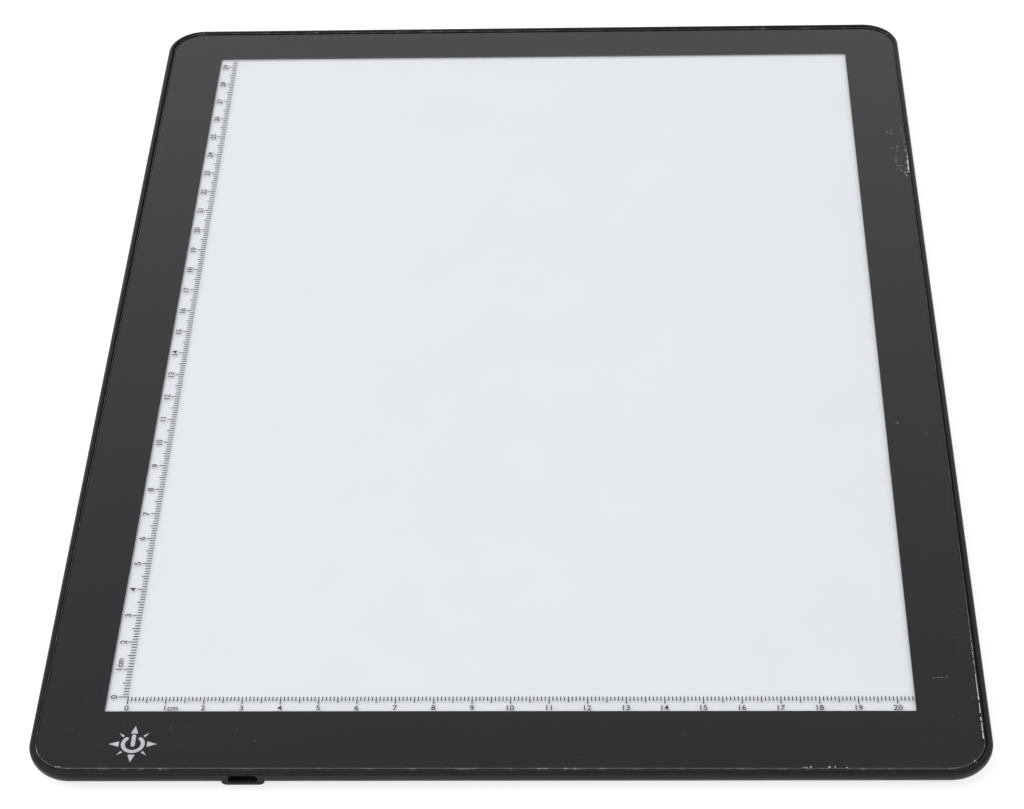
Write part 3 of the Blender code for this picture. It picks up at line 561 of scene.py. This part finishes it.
def power_ring():
    """Outline of a ring with an upward gap and round ends."""
    start = math.pi / 2 + RING_GAP
    end = math.pi / 2 + math.tau - RING_GAP
    middle = (RING_IN + RING_OUT) / 2
    half_stroke = (RING_OUT - RING_IN) / 2
    end_place = (middle * math.cos(end), middle * math.sin(end))
    start_place = (middle * math.cos(start), middle * math.sin(start))
    end_cap = arc(half_stroke, end, end + math.pi, CAP_STEPS, end_place)
    start_cap = arc(half_stroke, start + math.pi, start + math.tau, CAP_STEPS, start_place)
    return (arc(RING_OUT, start, end, RING_STEPS) + end_cap[1:-1]
            + arc(RING_IN, end, start, RING_STEPS) + start_cap[1:-1])


def ray(turn):
    """Outline of one ray, by its count of eighth turns from the right."""
    root, tip, half_width = LARGE_RAY if turn % 2 == 0 else SMALL_RAY
    angle = math.tau / RAYS * turn
    along = Vector((math.cos(angle), math.sin(angle)))
    side = Vector((-along.y, along.x))
    return [along * root - side * half_width, along * tip, along * root + side * half_width]


def build_mark(ink):
    """Touch mark: a power sign ringed by four large and four small rays."""
    low = PANEL_TOP - PRINT_DEPTH + MARK_LIFT
    bar = (arc(BAR_HALF, 0, math.pi, CAP_STEPS, (0, BAR_HIGH))
           + arc(BAR_HALF, math.pi, math.tau, CAP_STEPS, (0, BAR_LOW)))
    made = bmesh.new()
    for outline in [power_ring(), bar] + [ray(turn) for turn in range(RAYS)]:
        add_slab(made, [(MARK_X + x, MARK_Y + y) for x, y in outline], low, low + INK_THICKNESS)
    piece(finish_mesh("touch_mark", turn_with_panel(made)), ink)


def tick_length(count):
    """Length of a ruler's tick by its count of millimetres."""
    return RULER_TICKS[2 if count % 10 == 0 else 1 if count % 5 == 0 else 0]


def build_ticks(ink):
    """Ticks of both rulers, growing outwards from the lines through zero."""
    low = PANEL_TOP - PRINT_DEPTH
    high = low + INK_THICKNESS
    half = RULER_LINE / 2
    for name, total in (("ruler_ticks_left", LEFT_RULER_MM), ("ruler_ticks_near", NEAR_RULER_MM)):
        made = bmesh.new()
        for count in range(total + 1):
            length = tick_length(count)
            place = count * MM
            if name.endswith("left"):
                low_x, high_x = RULER_X - length, RULER_X + (half if count == 0 else 0)
                low_y, high_y = RULER_Y + place - half, RULER_Y + place + half
            else:
                low_x, high_x = RULER_X + place - half, RULER_X + place + half
                low_y, high_y = RULER_Y - length, RULER_Y - (half if count == 0 else 0)
            add_slab(made, [(low_x, low_y), (high_x, low_y), (high_x, high_y), (low_x, high_y)], low, high)
        piece(finish_mesh(name, turn_with_panel(made)), ink)


def text_mesh(text, height):
    """A flat mesh of sans figures of a given height on the baseline; build_numbers centres and narrows them.
    """
    curve = bpy.data.curves.new("figures", "FONT")
    curve.body = text
    curve.size = height / DIGIT_SHARE_OF_SIZE
    curve.extrude = INK_THICKNESS / 2
    curve.offset = DIGIT_BOLDNESS
    curve.resolution_u = 3
    item = bpy.data.objects.new("figures", curve)
    bpy.context.scene.collection.objects.link(item)
    graph = bpy.context.evaluated_depsgraph_get()
    mesh = bpy.data.meshes.new_from_object(item.evaluated_get(graph))
    bpy.data.objects.remove(item, do_unlink=True)
    return mesh


def build_numbers(ink):
    """Centimetre numbers: upright below the near ruler, turned to read upwards on the left one."""
    z = PANEL_TOP - PRINT_DEPTH + INK_THICKNESS / 2
    off = RULER_TICKS[2] + DIGIT_GAP
    for name, total, width_share in (
            ("ruler_numbers_left", LEFT_RULER_MM // 10, LEFT_DIGIT_WIDTH_SHARE),
            ("ruler_numbers_near", NEAR_RULER_MM // 10, NEAR_DIGIT_WIDTH_SHARE)):
        made = bmesh.new()
        for number in range(total + 1):
            mesh = text_mesh(str(number), DIGIT_HEIGHT)
            xs = [vert.co.x for vert in mesh.vertices]
            middle = (min(xs) + max(xs)) / 2
            extra = [(mesh, -middle)]
            if number == 1:
                unit = text_mesh("cm", DIGIT_HEIGHT)
                first = min(vert.co.x for vert in unit.vertices)
                extra.append((unit, UNIT_OFFSET - first))
            for source, shift in extra:
                narrow = Matrix.Diagonal((width_share, 1, 1, 1)) @ Matrix.Translation((shift, 0, 0))
                if name.endswith("left"):
                    put = (Matrix.Translation((RULER_X - off, RULER_Y + number * 10 * MM, z))
                           @ Matrix.Rotation(math.pi / 2, 4, "Z"))
                else:
                    put = Matrix.Translation((RULER_X + number * 10 * MM, RULER_Y - off - DIGIT_HEIGHT, z))
                source.transform(put @ narrow)
                made.from_mesh(source)
                bpy.data.meshes.remove(source)
        bmesh.ops.remove_doubles(made, verts=made.verts, dist=1e-6)
        piece(finish_mesh(name, turn_with_panel(made)), ink)


def add_flake(made, x, y, size, chance, z=PANEL_TOP):
    """A thin many-sided flake that lies on a face, in the panel's own frame."""
    count = chance.randint(5, 8)
    start = chance.uniform(0, math.tau)
    stretch = chance.uniform(0.5, 1.0)
    outline = []
    for index in range(count):
        angle = start + math.tau * index / count
        reach = size / 2 * chance.uniform(0.6, 1.0)
        outline.append((x + reach * math.cos(angle), y + reach * stretch * math.sin(angle)))
    add_slab(made, outline, z - FLAKE_THICKNESS, z)


def add_scuff(made, low_y, high_y, width, chance, z=PANEL_TOP):
    """A ragged scuff along the panel's right edge, widest at its near end, in the panel's own frame."""
    edge_x = PANEL_HALF_X - PANEL_CHAMFER
    count = round((high_y - low_y) / SCUFF_STEP)
    for step in range(count):
        if chance.random() < SCUFF_BREAKS_SHARE:
            continue
        share = 1 - step / count
        near_y = low_y + (high_y - low_y) * step / count
        far_y = near_y + SCUFF_STEP * chance.uniform(0.6, 1.1)
        near_reach, far_reach = (width * share * chance.uniform(0.35, 1) for _ in range(2))
        inner_x = edge_x - width * share * chance.uniform(0, 0.15)
        add_slab(made, [(inner_x, near_y), (inner_x, far_y), (inner_x - far_reach, far_y),
                        (inner_x - near_reach, near_y)], z - FLAKE_THICKNESS, z)


def build_wear(material):
    """Specks and scuffs on the panel, most of them by the right edge."""
    chance = random.Random(7)
    made = bmesh.new()
    for count, x, y, spread_x, spread_y, size in WEAR_CLUSTERS:
        for _ in range(count):
            place_x = min(x * MM + chance.gauss(0, spread_x) * MM, PANEL_HALF_X - 0.3 * MM)
            place_y = max(y * MM + chance.gauss(0, spread_y) * MM, -PANEL_HALF_Y + 0.3 * MM)
            add_flake(made, place_x, place_y, chance.uniform(0.35, 1.0) * size * MM, chance)
    for low_y, high_y, width in EDGE_SCUFFS:
        add_scuff(made, low_y * MM, high_y * MM, width * MM, chance)
    for _ in range(STRAY_SPECKS):
        side = chance.choice((-1, 1))
        if chance.random() < 0.6:
            x = side * chance.uniform(WINDOW_HALF_X + 1 * MM, PANEL_HALF_X - 1 * MM)
            y = chance.uniform(-PANEL_HALF_Y + 3 * MM, PANEL_HALF_Y - 3 * MM)
        else:
            x = chance.uniform(-PANEL_HALF_X + 3 * MM, PANEL_HALF_X - 3 * MM)
            y = chance.uniform(-PANEL_HALF_Y + 1 * MM, WINDOW_NEAR - 1 * MM)
        add_flake(made, x, y, chance.uniform(0.1, 0.24) * MM, chance)
    piece(finish_mesh("specks_and_scuffs", turn_with_panel(made)), material)


def build_feet(material):
    """Four turned rubber feet with a rounded sole."""
    for name, (x, y) in foot_centres().items():
        low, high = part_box(name)
        profile = [(FOOT_RADIUS - FOOT_ROUND * (1 - math.sin(angle)),
                    low.z + FOOT_ROUND * (1 - math.cos(angle))) for angle in arc_steps(6)]
        profile.append((FOOT_RADIUS, high.z))
        rings = [level(circle(x, y, radius, FOOT_STEPS), z) for radius, z in profile]
        foot = finish_mesh(name.replace("rubber_foot", "sole"), loft(rings))
        piece(foot, material, [name])


def dress_nodes():
    """Finishes of the solids that stay as they are, by the start of their nodes' names."""
    resin = (grained("resin_black", srgb(30, 30, 32), 0.5, 3200, 0.01 * MM), "black_resin")
    tape = (grained("tape_cream", srgb(204, 198, 186), 0.6, 1500, 0.01 * MM), "mounting_tape")
    finishes = {
        "diffuser_sheet": (grained("diffuser_white", srgb(237, 239, 241), 0.09, 1500, 0.0004 * MM,
                                   spread=0.008, roughness_spread=0.03), "diffuser_film"),
        "light_blocking_tape": (grained("tape_black", srgb(30, 30, 33), 0.5, 1200, 0.004 * MM),
                                "black_tape"),
        "light_guide_plate": (grained("guide_acrylic", srgb(222, 232, 236), 0.15, 500, 0.002 * MM),
                              "guide_acrylic"),
        "reflector_sheet": (grained("reflector_white", srgb(240, 240, 240), 0.3, 900, 0.002 * MM),
                            "reflector_film"),
        "control_board": (grained("board_green", srgb(24, 82, 50), 0.35, 1800, 0.01 * MM),
                          "circuit_board"),
        "usb_shell": (grained("socket_nickel", srgb(120, 122, 126), 0.35, 3000, 0.003 * MM, metallic=1.0),
                      "socket_steel"),
        "usb_contact": (grained("contact_gold", srgb(206, 166, 90), 0.25, 3000, 0.002 * MM, metallic=1.0),
                        "contact_metal"),
        "touch_electrode": (grained("foam_grey", srgb(86, 86, 90), 0.85, 2600, 0.08 * MM),
                            "conductive_foam"),
        "led_strip": (grained("strip_white", srgb(226, 228, 224), 0.45, 1500, 0.01 * MM), "strip_board"),
        "capacitor": (grained("ceramic_brown", srgb(148, 114, 82), 0.4, 3000, 0.01 * MM),
                      "capacitor_ceramic"),
        "usb_tongue": resin, "touch_chip": resin, "power_transistor": resin, "resistor": resin,
        "strip_tape": tape, "board_tape": tape,
    }
    red = (grained("lead_red", srgb(166, 30, 28), 0.45, 1500, 0.01 * MM), "red_insulation")
    black = (grained("lead_black", srgb(26, 26, 28), 0.45, 1500, 0.01 * MM), "black_insulation")
    for side in ("left", "right"):
        finishes[f"lead_{side}_red"] = red
        finishes[f"lead_{side}_black"] = black
    for name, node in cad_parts.items():
        for start, (material, slot) in finishes.items():
            if name.startswith(start):
                node.data.materials.clear()
                node.data.materials.append(material)


# Stage

def build_floor():
    """Pale floor that shows white to the camera and keeps the pad's shadow."""
    made = bmesh.new()
    bmesh.ops.create_grid(made, x_segments=1, y_segments=1, size=FLOOR_HALF)
    floor = finish_mesh("floor", made)
    colour = (FLOOR_ALBEDO, FLOOR_ALBEDO, FLOOR_ALBEDO, 1)
    material, nodes, links, shader = node_material("floor_pale", colour, 0.9)
    shader.inputs["Specular IOR Level"].default_value = 0.1
    glow = nodes.new("ShaderNodeEmission")
    glow.inputs["Color"].default_value = (1, 1, 1, 1)
    path = nodes.new("ShaderNodeLightPath")
    seen = path.outputs["Is Camera Ray"]
    for other in ("Is Glossy Ray", "Is Transmission Ray"):
        either = nodes.new("ShaderNodeMath")
        either.operation = "MAXIMUM"
        links.new(seen, either.inputs[0])
        links.new(path.outputs[other], either.inputs[1])
        seen = either.outputs["Value"]
    level_of_glow = nodes.new("ShaderNodeMath")
    level_of_glow.operation = "MULTIPLY"
    level_of_glow.inputs[1].default_value = FLOOR_GLOW
    links.new(seen, level_of_glow.inputs[0])
    links.new(level_of_glow.outputs["Value"], glow.inputs["Strength"])
    add = nodes.new("ShaderNodeAddShader")
    links.new(shader.outputs["BSDF"], add.inputs[0])
    links.new(glow.outputs["Emission"], add.inputs[1])
    links.new(add.outputs["Shader"], nodes["Material Output"].inputs["Surface"])
    floor.data.materials.append(material)


def build_world():
    """Soft surround: white low down, where it can be seen, and a little darker overhead."""
    world = bpy.data.worlds.new("surround")
    world.use_nodes = True
    nodes = world.node_tree.nodes
    links = world.node_tree.links
    background = nodes["Background"]
    place = nodes.new("ShaderNodeTexCoord")
    split = nodes.new("ShaderNodeSeparateXYZ")
    links.new(place.outputs["Generated"], split.inputs["Vector"])
    spread = nodes.new("ShaderNodeMapRange")
    for name, value in zip(("From Min", "From Max"), SURROUND_HEIGHTS):
        spread.inputs[name].default_value = value
    for name, value in zip(("To Min", "To Max"), SURROUND_STRENGTHS):
        spread.inputs[name].default_value = value
    links.new(split.outputs["Z"], spread.inputs["Value"])
    links.new(spread.outputs["Result"], background.inputs["Strength"])
    background.inputs["Color"].default_value = SURROUND_COLOUR
    bpy.context.scene.world = world


def build_lamp(name, location, target, size, power):
    """A soft square lamp aimed at a point."""
    lamp = bpy.data.lights.new(name, "AREA")
    lamp.size = size
    lamp.energy = power
    item = bpy.data.objects.new(name, lamp)
    item.location = location
    item.rotation_euler = (Vector(target) - Vector(location)).to_track_quat("-Z", "Y").to_euler()
    bpy.context.scene.collection.objects.link(item)


def build_camera():
    """Camera in front of the near edge, about 41 degrees above the pad, slightly turned and tilted."""
    camera = bpy.data.cameras.new("camera")
    camera.sensor_width = CAMERA_SENSOR
    camera.lens = CAMERA_LENS
    camera.clip_start = CAMERA_CLIP
    item = bpy.data.objects.new("camera", camera)
    ahead = (CAMERA_AIM - CAMERA_PLACE).normalized()
    item.location = CAMERA_PLACE
    item.rotation_mode = "QUATERNION"
    roll = Matrix.Rotation(CAMERA_ROLL, 3, "Z").to_quaternion()
    item.rotation_quaternion = ahead.to_track_quat("-Z", "Y") @ roll
    bpy.context.scene.collection.objects.link(item)
    bpy.context.scene.camera = item


def main():
    """Dress the pad, light it and place the camera."""
    bpy.context.scene.view_settings.view_transform = "Standard"
    build_camera()
    build_floor()
    build_world()
    build_lamp("key", KEY_PLACE, KEY_AIM, KEY_SIZE, KEY_POWER)
    case_plastic = grained("case_plastic", srgb(23, 23, 25), 0.40, 3800, 0.006 * MM, spread=0.10)
    case_plastic.node_tree.nodes["Principled BSDF"].inputs["Specular IOR Level"].default_value = 0.20
    rubber = grained("sole_rubber", srgb(34, 34, 36), 0.8, 2600, 0.02 * MM)
    build_case(case_plastic)
    build_panel(clear_acrylic(), cut_edge())
    border_ink = printed_ink("border_black", srgb(11, 11, 18))
    border_ink.node_tree.nodes["Principled BSDF"].inputs["Specular IOR Level"].default_value = 0.45
    build_border(border_ink)
    build_mark(printed_ink("mark_grey", srgb(193, 194, 197)))
    ruler_ink = printed_ink("ruler_grey", srgb(40, 41, 46))
    build_ticks(ruler_ink)
    build_numbers(ruler_ink)
    build_wear(grained("scuffed_acrylic", srgb(212, 213, 216), 0.7, 3000, 0.01 * MM, spread=0.3))
    build_feet(rubber)
    dress_nodes()


main()
